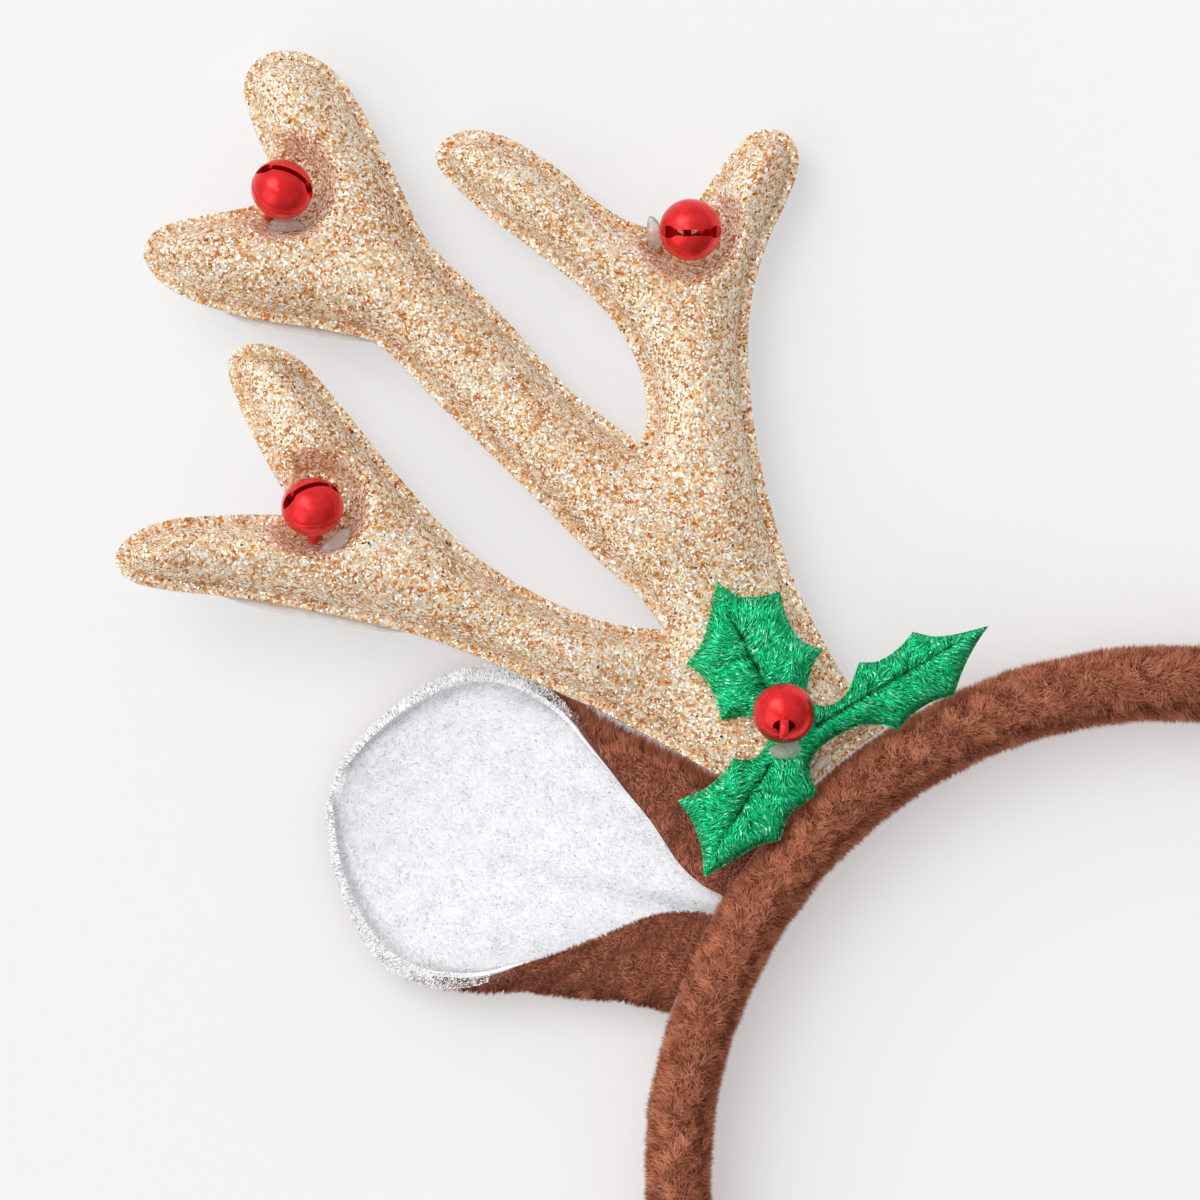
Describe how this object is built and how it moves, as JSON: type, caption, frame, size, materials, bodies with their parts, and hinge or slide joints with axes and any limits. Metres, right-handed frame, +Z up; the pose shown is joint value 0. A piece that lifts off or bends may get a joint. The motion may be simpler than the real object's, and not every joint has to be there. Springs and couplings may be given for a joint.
{
  "type": "reindeer antler headband",
  "caption": "Plush headband lying flat, with padded glitter antlers, folded two-colour ears, foil holly leaves and small red jingle bells, worn over the head",
  "frame": {"origin": "centre of the bounding box at the height of the floor that the hoop lies on", "axes": "+X across the head toward the wearer's side drawn on the right, +Y from the open ends of the hoop toward its crown and the antler tips, +Z up from the floor to the glitter side"},
  "size_m": [0.2824, 0.2173, 0.0247],
  "materials": {
    "brown_plush": "short clumped plush pile",
    "champagne_glitter": "coarse champagne glitter on padded cloth",
    "white_backing": "smooth matte cloth",
    "white_pile": "short dense pile",
    "green_foil": "embossed metallic foil",
    "red_metal": "satin red lacquer",
    "clear_glue": "cloudy hot-melt glue"
  },
  "bodies": {
    "root": {"band": "brown_plush", "antler_left": "champagne_glitter", "antler_right": "champagne_glitter", "antler_backing_left": "white_backing", "antler_backing_right": "white_backing", "ear_back_left": "brown_plush", "ear_back_right": "brown_plush", "ear_lining_left": "white_pile", "ear_lining_right": "white_pile", "holly_left": "green_foil", "holly_right": "green_foil", "bell_top_left": "red_metal", "bell_top_right": "red_metal", "bell_inner_left": "red_metal", "bell_inner_right": "red_metal", "bell_low_left": "red_metal", "bell_low_right": "red_metal", "bell_holly_left": "red_metal", "bell_holly_right": "red_metal", "glue_top_left": "clear_glue", "glue_top_right": "clear_glue", "glue_inner_left": "clear_glue", "glue_inner_right": "clear_glue", "glue_low_left": "clear_glue", "glue_low_right": "clear_glue", "glue_holly_left": "clear_glue", "glue_holly_right": "clear_glue", "glue_root_left": "clear_glue", "glue_root_right": "clear_glue"}
  },
  "joints": []
}
